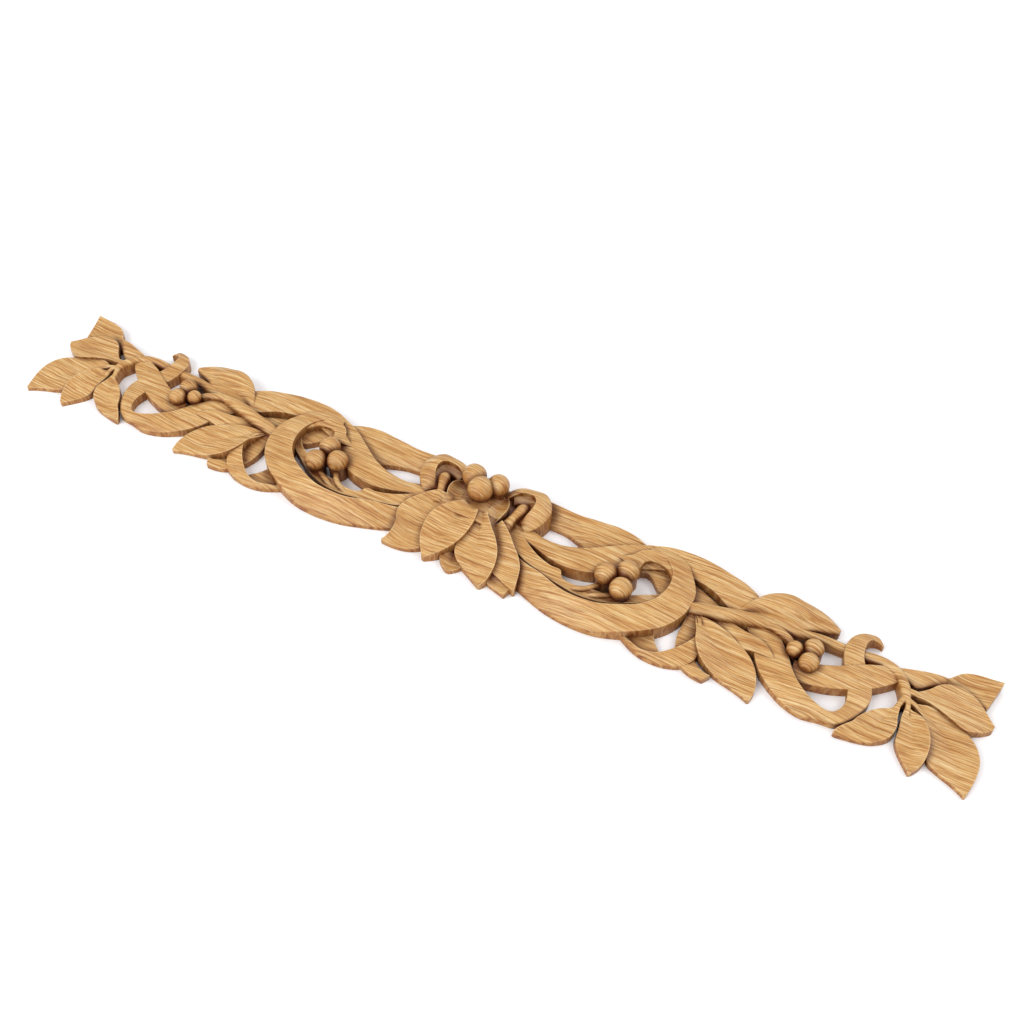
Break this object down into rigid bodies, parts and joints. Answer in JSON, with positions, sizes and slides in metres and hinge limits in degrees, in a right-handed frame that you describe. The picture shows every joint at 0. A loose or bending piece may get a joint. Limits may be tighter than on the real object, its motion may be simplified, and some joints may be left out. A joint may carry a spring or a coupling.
{
  "type": "pierced laurel onlay",
  "caption": "Long pierced oak onlay: mirrored ribbon scrolls, laurel leaves, twigs and berries on a flat back, to be fixed to a door, chest or panel.",
  "frame": {"origin": "middle of the flat back, under the fan of leaves at the centre", "axes": "+X along the onlay to its right end as seen from the front, +Y across it to the side that the crown of berries is on, +Z out of the flat back towards the viewer"},
  "size_m": [0.9, 0.1086, 0.041],
  "materials": {
    "oak": "carved oak under a thin clear matt oil, with open grain"
  },
  "bodies": {
    "root": {"laurel_onlay": "oak"}
  },
  "joints": []
}
